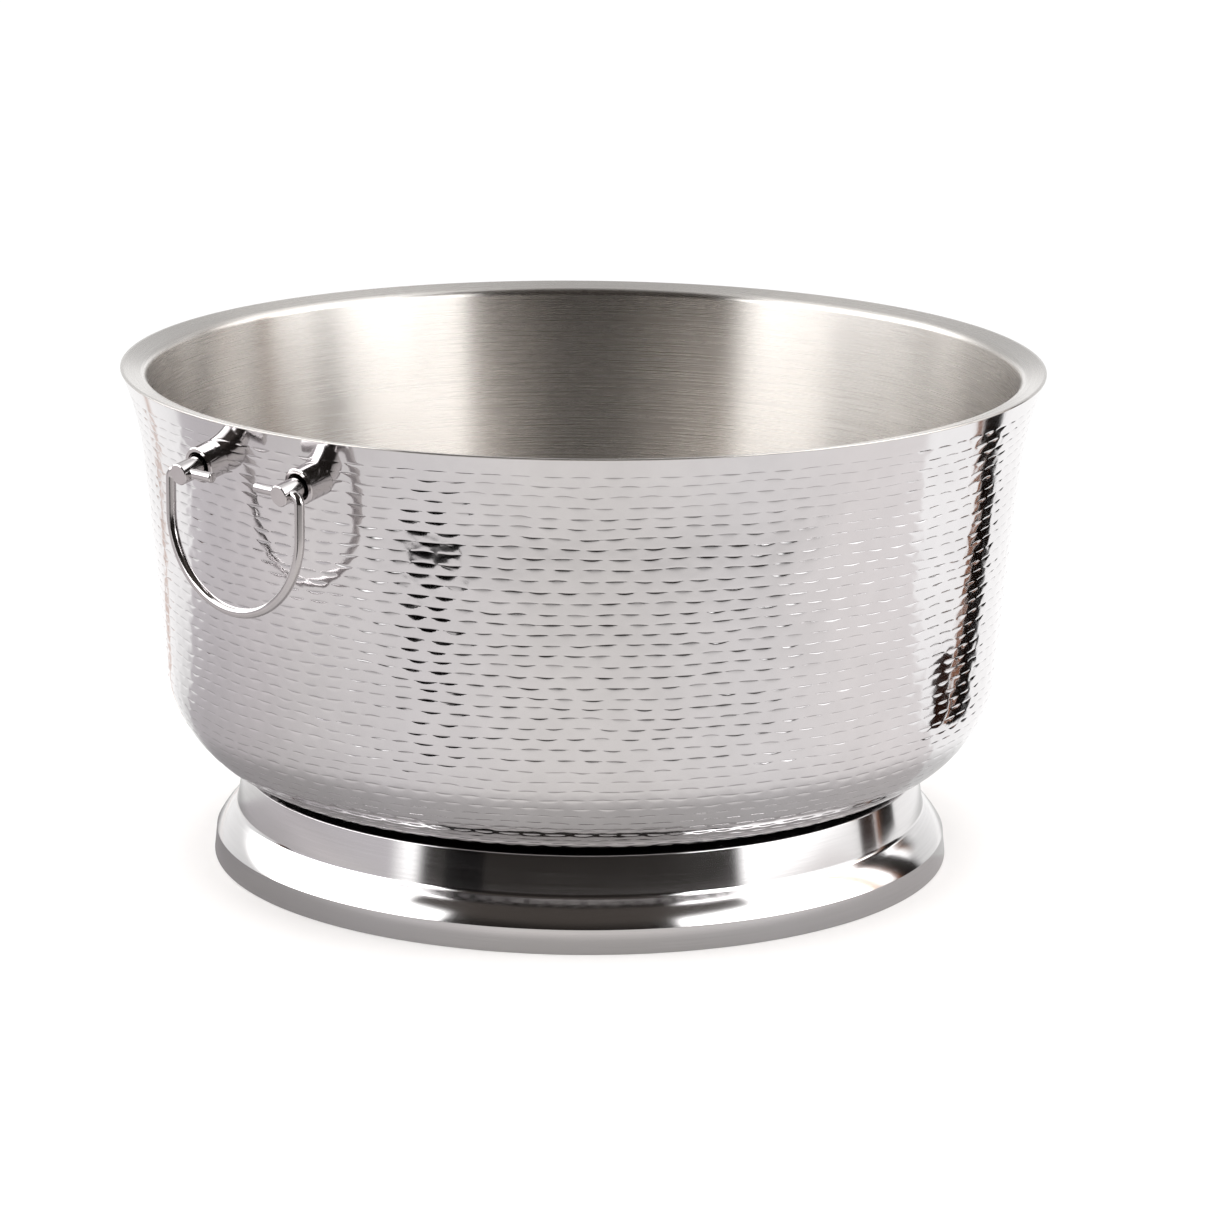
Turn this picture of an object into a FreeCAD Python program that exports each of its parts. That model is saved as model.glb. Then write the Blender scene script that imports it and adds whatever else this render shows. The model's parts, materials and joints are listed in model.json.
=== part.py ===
import FreeCAD, Part
import math
import os
import re

import Sketcher

# Double-walled champagne bucket with two swinging bails.  +Z is up and the origin is the centre of the
# ring that it stands on.  The bails hang at -X (left) and +X (right), and swing about axes along Y.

V = FreeCAD.Vector
doc = FreeCAD.newDocument("champagne_bucket")

# ---------------------------------------------------------------- driving dimensions (mm and degrees)
SIZES = [
    # overall
    ("rim_radius", 235.0, "outside radius of the rim"),
    ("bucket_height", 255.2, "floor to the top of the rim"),
    ("foot_height", 45.6, "floor to the underside of the bowl"),
    # hammered outer shell
    ("shell_gauge", 0.8, "sheet of the outer shell"),
    ("wall_taper", 5.1, "lean of both walls from the vertical"),
    ("corner_radius", 60.0, "outside radius between wall and base"),
    ("flare_drop", 46.4, "how far below the shell's edge the rim flare starts"),
    ("flare_width", 11.3, "how far the flare stands out past the wall"),
    ("seam_step", 0.4, "how far the shell's edge stays inside the lip's edge"),
    # inner bowl
    ("bowl_gauge", 0.8, "sheet of the inner bowl"),
    ("cavity_gap", 4.2, "space between the two bases"),
    ("lip_width", 10.0, "rim edge to the start of the roll"),
    ("lip_land", 1.5, "flat outer part of the lip"),
    ("lip_slope", 13.0, "fall of the lip towards the bowl"),
    ("roll_radius", 4.5, "roll from lip to inner wall"),
    # foot
    ("foot_gauge", 1.2, "sheet of the foot"),
    ("seat_width", 15.0, "ring where the bowl sits on the foot"),
    ("neck_offset", 20.8, "base flat to the neck of the foot"),
    ("foot_spread", 15.0, "neck to the bottom edge of the foot"),
    ("band_height", 12.3, "height of the plain band"),
    ("band_lean", 1.2, "how much the band narrows upwards"),
    ("shoulder_height", 25.5, "height of the bend above the shoulder"),
    ("shoulder_inset", 10.8, "band to the bend above the shoulder"),
    ("shoulder_radius", 50.0, "round of the shoulder"),
    ("hem_width", 7.0, "turned-in hem that the foot rests on"),
    ("bend_round", 4.0, "round of the bend above the shoulder"),
    ("edge_round", 0.6, "round of the neck and floor edges"),
    # fasteners between foot and base
    ("foot_bolt_radius", 2.5, "weld stud"),
    ("foot_bolt_length", 9.0, "weld stud below the base"),
    ("foot_bolt_clearance", 0.25, "stud to its hole, radial"),
    ("foot_washer_radius", 5.0, "washer"),
    ("foot_washer_gauge", 1.0, "washer"),
    ("foot_nut_flats", 8.0, "nut across flats"),
    ("foot_nut_height", 4.0, "nut"),
    # posts
    ("post_drop", 19.7, "top of the rim down to where a post's axis meets the wall"),
    ("post_spacing", 68.0, "between the two posts of a bail"),
    ("post_tilt", 11.0, "fall of a post from the horizontal"),
    ("post_radius", 5.3, "stud"),
    ("post_length", 26.0, "wall to the end of the stud"),
    ("post_chamfer", 0.4, "edge of the stud's end"),
    ("pivot_reach", 21.5, "wall to the cross hole"),
    ("shank_radius", 3.0, "threaded end of the stud"),
    ("shank_clearance", 0.2, "shank to its holes, radial"),
    ("shank_spare", 0.3, "shank past its nut"),
    ("collar_radius", 9.0, "collar round the stud"),
    ("collar_length", 12.5, "wall to the collar's face"),
    ("collar_chamfer", 0.5, "edge of the collar"),
    ("collar_web", 2.6, "wall to the floor of the collar's counterbore"),
    ("counterbore_radius", 6.9, "counterbore"),
    ("saddle_radius", 6.2, "saddle washer behind the wall"),
    ("saddle_depth", 2.3, "wall's outside to the saddle's flat side"),
    ("nut_flats", 10.0, "nut across flats"),
    ("nut_height", 3.0, "nut"),
    # bails
    ("rod_radius", 2.5, "rod"),
    ("bail_clearance", 0.08, "rod to its cross hole, radial"),
    ("leg_gap", 4.4, "side of a post to the centre of the leg beside it"),
    ("leg_length", 19.5, "cross hole to the start of the bow"),
    ("bend_radius", 4.0, "bend into the cross hole, centre line"),
    ("tip_length", 14.0, "rod past the inner side of a stud"),
    ("tip_round", 0.6, "edge of the rod's ends"),
]
FOOT_BOLTS = 6

sheet = doc.addObject("Spreadsheet::Sheet", "sizes")
for row, (alias, value, note) in enumerate(SIZES, start=1):
    sheet.set(f"A{row}", alias)
    sheet.set(f"B{row}", str(value))
    sheet.setAlias(f"B{row}", alias)
    sheet.set(f"C{row}", note)
doc.recompute()


PAST = "10 mm"  # how far a cutting tool runs past what it cuts

# ---------------------------------------------------------------- helpers
def bind(thing, target, formula):
    """Ties a property to the sheet: every bare alias in the formula is read from it."""
    aliases = {alias for alias, _, _ in SIZES}
    thing.setExpression(
        target, re.sub(r"(?<![\w.])\w+", lambda w: ("sizes." if w[0] in aliases else "") + w[0], formula)
    )


def size(alias):
    return getattr(sheet, alias)


def constrain(sketch, *args, formula=None, name=None, measure=False):
    """Adds a constraint, and ties its value to the sheet."""
    index = sketch.addConstraint(Sketcher.Constraint(*args))
    if name:
        sketch.renameConstraint(index, name)
    if measure:
        sketch.setDriving(index, False)
    if formula:
        bind(sketch, f"Constraints[{index}]", formula)
    return index


def place(sketch, geometry, end, x_formula, y_formula):
    """Ties one end of a line or arc to its two coordinates."""
    at = sketch.getPoint(geometry, end)
    for kind, value, formula in (("DistanceX", at.x, x_formula), ("DistanceY", at.y, y_formula)):
        constrain(sketch, kind, -1, 1, geometry, end, value, formula=formula)


def line(sketch, start, end):
    return sketch.addGeometry(Part.LineSegment(V(*start, 0), V(*end, 0)), False)


def arc(sketch, centre, radius, first, last):
    """Anticlockwise arc between two angles in degrees."""
    circle = Part.Circle(V(*centre, 0), V(0, 0, 1), radius)
    return sketch.addGeometry(Part.ArcOfCircle(circle, math.radians(first), math.radians(last)), False)


def loose_sketch(name):
    """Sketch in the XZ plane, for a sheet piece spun about Z."""
    sketch = doc.addObject("Sketcher::SketchObject", name)
    sketch.Placement = FreeCAD.Placement(V(0, 0, 0), FreeCAD.Rotation(V(1, 0, 0), 90))
    return sketch


def body_sketch(body, name, plane, offset=None):
    """Sketch on one of the body's own origin planes; offset is a formula along the plane's normal."""
    sketch = body.newObject("Sketcher::SketchObject", name)
    origin_plane = [f for f in body.Origin.OriginFeatures if f.Role == plane][0]
    sketch.AttachmentSupport = [(origin_plane, "")]
    sketch.MapMode = "FlatFace"
    if offset:
        bind(sketch, "AttachmentOffset.Base.z", offset)
    return sketch


def ribbon(name, outline, gauge):
    """Sheet of one gauge along an outline."""
    made = doc.addObject("Part::Offset2D", name)
    made.Source = outline
    made.Mode = "Skin"
    made.Join = "Intersection"
    made.Fill = True
    bind(made, "Value", gauge)
    return made


def circle_sketch(body, name, plane, radius, offset=None, x_formula=None, y_formula=None):
    sketch = body_sketch(body, name, plane, offset)
    ring = sketch.addGeometry(Part.Circle(V(0, 0, 0), V(0, 0, 1), 1.0), False)
    constrain(sketch, "Radius", ring, 1.0, formula=radius)
    if x_formula or y_formula:
        place(sketch, ring, 3, x_formula or "0 mm", y_formula or "0 mm")
    else:
        sketch.addConstraint(Sketcher.Constraint("Coincident", ring, 3, -1, 1))
    return sketch


def spin(name, source):
    """Full turn about Z."""
    turned = doc.addObject("Part::Revolution", name)
    turned.Source = source
    turned.Axis = V(0, 0, 1)
    turned.Angle = 360.0
    turned.Solid = True
    return turned


def cylinder(name, radius, length):
    made = doc.addObject("Part::Cylinder", name)
    bind(made, "Radius", radius)
    bind(made, "Height", length)
    return made


def cut(name, base, tools):
    """Takes one or more tools away from the base."""
    tool = tools[0]
    if len(tools) > 1:
        tool = doc.addObject("Part::MultiFuse", name + "_tools")
        tool.Shapes = tools
    made = doc.addObject("Part::Cut", name)
    made.Base = base
    made.Tool = tool
    return made


# ---------------------------------------------------------------- outer shell
POST_HEIGHT = "(bucket_height - post_drop)"


def shell_outline(name, closed=False):
    """Outside line of the shell, from the axis to its top edge.  It measures where the base flat ends
    and the wall's radius at the posts.  Closed along its top and the axis, it bounds a full solid."""
    sketch = loose_sketch(name)
    taper = size("wall_taper")
    lean = math.radians(taper)
    corner = size("corner_radius")
    edge = (size("rim_radius") - size("seam_step"), size("bucket_height") - size("bowl_gauge"))
    start = (edge[0] - size("flare_width"), edge[1] - size("flare_drop"))
    bend_top = size("foot_height") + corner * (1 - math.sin(lean))
    bend = (start[0] - (start[1] - bend_top) * math.tan(lean), bend_top)
    centre = (bend[0] - corner * math.cos(lean), size("foot_height") + corner)
    chord = math.atan2(edge[0] - start[0], edge[1] - start[1])
    flare_radius = math.dist(start, edge) / (2 * math.sin(chord - lean))
    flare_centre = (start[0] + flare_radius * math.cos(lean), start[1] - flare_radius * math.sin(lean))
    flare_end = 180 - math.degrees(2 * chord - lean)

    base = line(sketch, (0, size("foot_height")), (centre[0], size("foot_height")))
    corner_arc = arc(sketch, centre, corner, -90, -taper)
    wall = line(sketch, bend, start)
    flare = arc(sketch, flare_centre, flare_radius, flare_end, 180 - taper)
    constrain(sketch, "Horizontal", base)
    constrain(sketch, "Tangent", base, 2, corner_arc, 1)
    constrain(sketch, "Tangent", corner_arc, 2, wall, 1)
    constrain(sketch, "Tangent", wall, 2, flare, 2)
    place(sketch, base, 1, "0 mm", "foot_height * 1 mm")
    constrain(sketch, "Radius", corner_arc, corner, formula="corner_radius * 1 mm")
    constrain(sketch, "Angle", wall, math.radians(90 - taper), formula="(90 - wall_taper) * 1 deg")
    place(sketch, flare, 1, "(rim_radius - seam_step) * 1 mm", "(bucket_height - bowl_gauge) * 1 mm")
    place(
        sketch, wall, 2,
        "(rim_radius - seam_step - flare_width) * 1 mm",
        "(bucket_height - bowl_gauge - flare_drop) * 1 mm",
    )
    if closed:
        lid = line(sketch, edge, (0, edge[1]))
        axis = line(sketch, (0, edge[1]), (0, size("foot_height")))
        constrain(sketch, "Coincident", lid, 1, flare, 1)
        constrain(sketch, "Coincident", lid, 2, axis, 1)
        constrain(sketch, "Coincident", axis, 2, base, 1)
        constrain(sketch, "Horizontal", lid)
        constrain(sketch, "Vertical", axis)
        return sketch
    constrain(sketch, "DistanceX", -1, 1, base, 2, centre[0], name="base_radius", measure=True)
    post_height = size("bucket_height") - size("post_drop")
    at_post = flare_centre[0] - math.sqrt(flare_radius ** 2 - (post_height - flare_centre[1]) ** 2)
    mark = sketch.addGeometry(Part.Point(V(at_post, post_height, 0)), True)
    constrain(sketch, "PointOnObject", mark, 1, flare)
    constrain(sketch, "DistanceY", -1, 1, mark, 1, post_height, formula=f"{POST_HEIGHT} * 1 mm")
    constrain(sketch, "DistanceX", -1, 1, mark, 1, at_post, name="post_wall", measure=True)
    return sketch


outline = shell_outline("shell_outline")
doc.recompute()
BASE_RADIUS = "shell_outline.Constraints.base_radius"
POST_WALL = "shell_outline.Constraints.post_wall"
shell_blank = spin("shell_blank", ribbon("shell_sheet", outline, "shell_gauge * 1 mm"))
shell_form = spin("shell_form", shell_outline("shell_form_outline", closed=True))
shell_void = cut("shell_void", shell_form, [shell_blank])

# the shell's top edge is cut level, so that the lip's flat land sits on it
shell_trim = cylinder("shell_trim", f"rim_radius * 1 mm + {PAST}", PAST)
bind(shell_trim, "Placement.Base.z", "(bucket_height - bowl_gauge) * 1 mm")


# ---------------------------------------------------------------- inner bowl
def bowl_outline(name):
    """Visible side of the inner bowl and its lip, from the axis to the rim edge.  The wall is
    parallel to the shell's and the corner is concentric with the shell's corner."""
    sketch = loose_sketch(name)
    taper = size("wall_taper")
    lean = math.radians(taper)
    slope = math.radians(size("lip_slope"))
    roll = size("roll_radius")
    inset = size("shell_gauge") + size("cavity_gap") + size("bowl_gauge")
    corner = size("corner_radius") - inset
    floor = size("foot_height") + inset
    land = (size("rim_radius") - size("lip_land"), size("bucket_height"))
    lip_end = (size("rim_radius") - size("lip_width"),)
    lip_end += (land[1] - (land[0] - lip_end[0]) * math.tan(slope),)
    roll_centre = (lip_end[0] + roll * math.sin(slope), lip_end[1] - roll * math.cos(slope))
    wall_top = (roll_centre[0] - roll * math.cos(lean), roll_centre[1] + roll * math.sin(lean))
    wall_foot_z = floor + corner * (1 - math.sin(lean))
    wall_foot = (wall_top[0] - (wall_top[1] - wall_foot_z) * math.tan(lean), wall_foot_z)
    centre = (wall_foot[0] - corner * math.cos(lean), floor + corner)

    base = line(sketch, (0, floor), (centre[0], floor))
    corner_arc = arc(sketch, centre, corner, -90, -taper)
    wall = line(sketch, wall_foot, wall_top)
    roll_arc = arc(sketch, roll_centre, roll, 90 + size("lip_slope"), 180 - taper)
    lip = line(sketch, lip_end, land)
    flat = line(sketch, land, (size("rim_radius"), land[1]))
    constrain(sketch, "Horizontal", base)
    constrain(sketch, "Horizontal", flat)
    constrain(sketch, "Tangent", base, 2, corner_arc, 1)
    constrain(sketch, "Tangent", corner_arc, 2, wall, 1)
    constrain(sketch, "Tangent", wall, 2, roll_arc, 2)
    constrain(sketch, "Tangent", roll_arc, 1, lip, 1)
    constrain(sketch, "Coincident", lip, 2, flat, 1)
    place(sketch, base, 1, "0 mm", "(foot_height + shell_gauge + cavity_gap + bowl_gauge) * 1 mm")
    constrain(
        sketch, "Radius", corner_arc, corner,
        formula="(corner_radius - shell_gauge - cavity_gap - bowl_gauge) * 1 mm",
    )
    constrain(sketch, "Radius", roll_arc, roll, formula="roll_radius * 1 mm")
    constrain(sketch, "Angle", wall, math.radians(90 - taper), formula="(90 - wall_taper) * 1 deg")
    constrain(sketch, "Angle", lip, slope, formula="lip_slope * 1 deg")
    constrain(
        sketch, "DistanceX", -1, 1, lip, 1, lip_end[0], formula="(rim_radius - lip_width) * 1 mm"
    )
    place(sketch, lip, 2, "(rim_radius - lip_land) * 1 mm", "bucket_height * 1 mm")
    constrain(sketch, "DistanceX", -1, 1, flat, 2, size("rim_radius"), formula="rim_radius * 1 mm")
    return sketch


inner_bowl = spin(
    "inner_bowl", ribbon("bowl_sheet", bowl_outline("bowl_outline"), "bowl_gauge * -1 mm")
)


# ---------------------------------------------------------------- foot
OUTER_SHOULDER, INNER_SHOULDER = 2, 8  # the two sides of the foot's section that are arcs


def foot_outline(body):
    """Section of the spun foot: hem, plain band, shoulder, neck and the seat that the bowl rests on.
    Each corner is a formula, and the inner side follows the outer one at the sheet's gauge."""
    neck = f"({BASE_RADIUS} + neck_offset * 1 mm"
    band = f"{neck} + (foot_spread - band_lean) * 1 mm"
    corners = [
        (f"{neck} + (foot_spread - hem_width) * 1 mm)", "0 mm"),
        (f"{neck} + foot_spread * 1 mm)", "0 mm"),
        (f"{band})", "band_height * 1 mm"),
        (f"{band} - shoulder_inset * 1 mm)", "shoulder_height * 1 mm"),
        (f"{neck})", "foot_height * 1 mm"),
        (f"({BASE_RADIUS} - seat_width * 1 mm)", "foot_height * 1 mm"),
        (f"({BASE_RADIUS} - seat_width * 1 mm)", "(foot_height - foot_gauge) * 1 mm"),
        (f"{neck} - foot_gauge * 1 mm)", "(foot_height - foot_gauge) * 1 mm"),
        (f"{band} - (shoulder_inset + foot_gauge) * 1 mm)", "shoulder_height * 1 mm"),
        (f"{band} - foot_gauge * 1 mm)", "(band_height - foot_gauge) * 1 mm"),
        (f"{neck} + (foot_spread - foot_gauge) * 1 mm)", "foot_gauge * 1 mm"),
        (f"{neck} + (foot_spread - hem_width) * 1 mm)", "foot_gauge * 1 mm"),
    ]
    sketch = body_sketch(body, "foot_outline", "XZ_Plane")
    base_radius = outline.getDatum("base_radius").Value
    neck_radius = base_radius + size("neck_offset")
    foot_radius = neck_radius + size("foot_spread")
    band_radius = foot_radius - size("band_lean")
    gauge = size("foot_gauge")
    points = [
        (foot_radius - size("hem_width"), 0),
        (foot_radius, 0),
        (band_radius, size("band_height")),
        (band_radius - size("shoulder_inset"), size("shoulder_height")),
        (neck_radius, size("foot_height")),
        (base_radius - size("seat_width"), size("foot_height")),
        (base_radius - size("seat_width"), size("foot_height") - gauge),
        (neck_radius - gauge, size("foot_height") - gauge),
        (band_radius - size("shoulder_inset") - gauge, size("shoulder_height")),
        (band_radius - gauge, size("band_height") - gauge),
        (foot_radius - gauge, gauge),
        (foot_radius - size("hem_width"), gauge),
    ]
    shoulder = size("shoulder_radius")
    sides = []
    for index, (first, second) in enumerate(zip(points, points[1:] + points[:1])):
        if index == OUTER_SHOULDER:
            sides.append((shoulder_arc(sketch, first, second, shoulder), 1, 2))
        elif index == INNER_SHOULDER:
            sides.append((shoulder_arc(sketch, second, first, shoulder - gauge), 2, 1))
        else:
            sides.append((line(sketch, first, second), 1, 2))
    for (side, _, end), (after, start, _) in zip(sides, sides[1:] + sides[:1]):
        constrain(sketch, "Coincident", side, end, after, start)
    for (side, start, _), (x_formula, z_formula) in zip(sides, corners):
        place(sketch, side, start, x_formula, z_formula)
    constrain(sketch, "Radius", sides[OUTER_SHOULDER][0], shoulder, formula="shoulder_radius * 1 mm")
    constrain(
        sketch, "Radius", sides[INNER_SHOULDER][0], shoulder - gauge,
        formula="(shoulder_radius - foot_gauge) * 1 mm",
    )
    return sketch


def shoulder_arc(sketch, low, high, radius):
    """Arc that bulges away from the axis between two points, the lower one first."""
    chord = math.dist(low, high)
    reach = math.sqrt(radius ** 2 - chord ** 2 / 4)
    across = (-(high[1] - low[1]) / chord, (high[0] - low[0]) / chord)
    centre = ((low[0] + high[0]) / 2 + across[0] * reach, (low[1] + high[1]) / 2 + across[1] * reach)
    angles = [math.degrees(math.atan2(p[1] - centre[1], p[0] - centre[0])) for p in (low, high)]
    return arc(sketch, centre, radius, *angles)


def ring_edges(feature, height, outermost=True):
    """Name of the widest (or narrowest) round edge at one height of a spun feature."""
    found = []
    for index, edge in enumerate(feature.Shape.Edges, start=1):
        box = edge.BoundBox
        if abs(box.ZMin - height) < 0.01 and box.ZLength < 0.01:
            found.append((edge.Curve.Radius, f"Edge{index}"))
    return [(max if outermost else min)(found)[1]]


def round_off(body, name, base, edges, radius):
    """Fillet on the named edges of the feature before it."""
    made = body.newObject("PartDesign::Fillet", name)
    made.Base = (base, edges)
    bind(made, "Radius", radius)
    doc.recompute()
    return made


foot = doc.addObject("PartDesign::Body", "foot")
foot_ring = foot.newObject("PartDesign::Revolution", "foot_ring")
foot_ring.Profile = foot_outline(foot)
foot_ring.ReferenceAxis = (foot_ring.Profile[0], ["V_Axis"])
foot_ring.Angle = 360.0
doc.recompute()
bend = ring_edges(foot_ring, size("shoulder_height"))
foot_bend = round_off(foot, "foot_bend", foot_ring, bend, "bend_round * 1 mm")
neck_edge = ring_edges(foot_bend, size("foot_height"))
foot_neck = round_off(foot, "foot_neck", foot_bend, neck_edge, "edge_round * 1 mm")
floor_edge = ring_edges(foot_neck, 0.0)
foot_edge = round_off(foot, "foot_edge", foot_neck, floor_edge, "edge_round * 1 mm")

BOLT_CIRCLE = f"({BASE_RADIUS} - (seat_width / 2) * 1 mm)"
bolt_hole = foot.newObject("PartDesign::Pocket", "bolt_hole")
bolt_hole.Profile = circle_sketch(
    foot, "bolt_hole_outline", "XY_Plane", "(foot_bolt_radius + foot_bolt_clearance) * 1 mm",
    offset="(foot_height - foot_gauge * 2) * 1 mm", x_formula=BOLT_CIRCLE,
)
bolt_hole.Reversed = True
bind(bolt_hole, "Length", "foot_gauge * 4 mm")
doc.recompute()
bolt_holes = foot.newObject("PartDesign::PolarPattern", "bolt_holes")
bolt_holes.Originals = [bolt_hole]
bolt_holes.Axis = (bolt_hole.Profile[0], ["N_Axis"])
bolt_holes.Angle = 360.0
bolt_holes.Occurrences = FOOT_BOLTS
foot.Tip = bolt_holes
doc.recompute()


# ---------------------------------------------------------------- fasteners under the foot's seat
def ring_of(name, make):
    """One node of separate solids, one at each foot bolt."""
    pieces = []
    for index in range(FOOT_BOLTS):
        piece, height = make(f"{name}_{index + 1}")
        angle = f"{index * 360 / FOOT_BOLTS} deg"
        bind(piece, "Placement.Base.x", f"cos({angle}) * {BOLT_CIRCLE}")
        bind(piece, "Placement.Base.y", f"sin({angle}) * {BOLT_CIRCLE}")
        bind(piece, "Placement.Base.z", height)
        pieces.append(piece)
    group = doc.addObject("Part::Compound", name)
    group.Links = pieces
    return group


def washer(name, radius, bore, height):
    return cut(name, cylinder(name + "_disc", radius, height), [cylinder(name + "_bore", bore, height)])


def nut(name, flats, bore, height):
    block = doc.addObject("Part::Prism", name + "_hex")
    block.Polygon = 6
    bind(block, "Circumradius", f"{flats} / sqrt(3)")
    bind(block, "Height", height)
    return cut(name, block, [cylinder(name + "_bore", bore, height)])


foot_studs = ring_of("foot_studs", lambda name: (
    cylinder(name, "foot_bolt_radius * 1 mm", "foot_bolt_length * 1 mm"),
    "(foot_height - foot_bolt_length) * 1 mm",
))
foot_washers = ring_of("foot_washers", lambda name: (
    washer(name, "foot_washer_radius * 1 mm", "(foot_bolt_radius + foot_bolt_clearance) * 1 mm",
           "foot_washer_gauge * 1 mm"),
    "(foot_height - foot_gauge - foot_washer_gauge) * 1 mm",
))
foot_nuts = ring_of("foot_nuts", lambda name: (
    nut(name, "foot_nut_flats * 1 mm", "foot_bolt_radius * 1 mm", "foot_nut_height * 1 mm"),
    "(foot_height - foot_gauge - foot_washer_gauge - foot_nut_height) * 1 mm",
))


# ---------------------------------------------------------------- posts
WALL_CHORD = f"sqrt({POST_WALL} * {POST_WALL} - (post_spacing / 2) * (post_spacing / 2) * 1 mm^2)"


def stand_out(piece, side, across, along="0 mm"):
    """Turns a piece that is made along +Z to lie along a post's axis, and slides it along from where
    the axis meets the wall.  side is -1 or 1 for the left or right bail, across is -1 or 1 in Y."""
    piece.Placement.Rotation = FreeCAD.Rotation(V(0, 1, 0), side * (90 + size("post_tilt")))
    bind(piece, "Placement.Rotation.Angle", "(90 + post_tilt) * 1 deg")
    bind(piece, "Placement.Rotation.Axis.y", str(side))
    bind(piece, "Placement.Base.x", f"{side} * ({WALL_CHORD} + cos(post_tilt * 1 deg) * {along})")
    bind(piece, "Placement.Base.y", f"{across / 2} * post_spacing * 1 mm")
    bind(piece, "Placement.Base.z", f"{POST_HEIGHT} * 1 mm - sin(post_tilt * 1 deg) * {along}")
    return piece


def bevel(body, name, base, edges, length):
    made = body.newObject("PartDesign::Chamfer", name)
    made.Base = (base, edges)
    bind(made, "Size", length)
    doc.recompute()
    return made


def post_stud(name):
    """Round stud with a shank for its nut and a cross hole for the bail, made along +Z."""
    body = doc.addObject("PartDesign::Body", name)
    barrel = body.newObject("PartDesign::Pad", name + "_barrel")
    barrel.Profile = circle_sketch(
        body, name + "_barrel_ring", "XY_Plane", "post_radius * 1 mm", offset="collar_web * 1 mm"
    )
    bind(barrel, "Length", "(post_length - collar_web) * 1 mm")
    doc.recompute()
    shank = body.newObject("PartDesign::Pad", name + "_shank")
    shank.Profile = circle_sketch(
        body, name + "_shank_ring", "XY_Plane", "shank_radius * 1 mm", offset="collar_web * 1 mm"
    )
    bind(shank, "Length", "(collar_web + saddle_depth + nut_height + shank_spare) * 1 mm")
    shank.Reversed = True
    doc.recompute()
    end = bevel(body, name + "_end", shank, ring_edges(shank, size("post_length")), "post_chamfer * 1 mm")
    hole = body.newObject("PartDesign::Pocket", name + "_cross_hole")
    hole.Profile = circle_sketch(
        body, name + "_cross_ring", "XZ_Plane", "(rod_radius + bail_clearance) * 1 mm",
        y_formula="pivot_reach * 1 mm",
    )
    hole.Midplane = True
    bind(hole, "Length", "post_radius * 4 mm")
    doc.recompute()
    if hole.Shape.Volume >= end.Shape.Volume:
        raise RuntimeError(name + ": the cross hole cuts nothing")
    return body


def shank_hole(name, side, across):
    """Tool for the hole that a post's shank goes through, on both sides of the wall."""
    bore = cylinder(name, "(shank_radius + shank_clearance) * 1 mm", f"{PAST} * 2")
    return stand_out(bore, side, across, f"({PAST} * -1)")


def collar(name, side, across):
    """Counterbored sleeve whose back is scribed to the wall."""
    blank = cylinder(name + "_blank", "collar_radius * 1 mm", "(collar_length + collar_radius) * 1 mm")
    stand_out(blank, side, across, "(collar_radius * -1 mm)")
    edge = doc.addObject("Part::Chamfer", name + "_edge")
    doc.recompute()
    edge.Base = blank
    edge.Edges = [(face_ring(blank), size("collar_chamfer"), size("collar_chamfer"))]
    bore = shank_hole(name + "_bore", side, across)
    counterbore = cylinder(name + "_counterbore", "counterbore_radius * 1 mm", "collar_length * 1 mm")
    stand_out(counterbore, side, across, "(collar_web * 1 mm)")
    return cut(name, edge, [shell_form, bore, counterbore])


def face_ring(blank):
    """Number of the round edge at the far end of a cylinder."""
    far = blank.Placement.multVec(V(0, 0, blank.Height.Value))
    rings = [e for e in blank.Shape.Edges if isinstance(e.Curve, Part.Circle)]
    nearest = min(rings, key=lambda e: (e.Curve.Center - far).Length)
    return [e.isSame(nearest) for e in blank.Shape.Edges].index(True) + 1


def saddle(name, side, across):
    """Washer behind the wall: one side is scribed to the wall and the other is square to the post."""
    disc = cylinder(name + "_disc", "saddle_radius * 1 mm", f"saddle_depth * 1 mm + {PAST}")
    stand_out(disc, side, across, "(saddle_depth * -1 mm)")
    scribed = doc.addObject("Part::Common", name + "_scribed")
    scribed.Base = disc
    scribed.Tool = shell_void
    return cut(name, scribed, [shank_hole(name + "_bore", side, across)])


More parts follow.
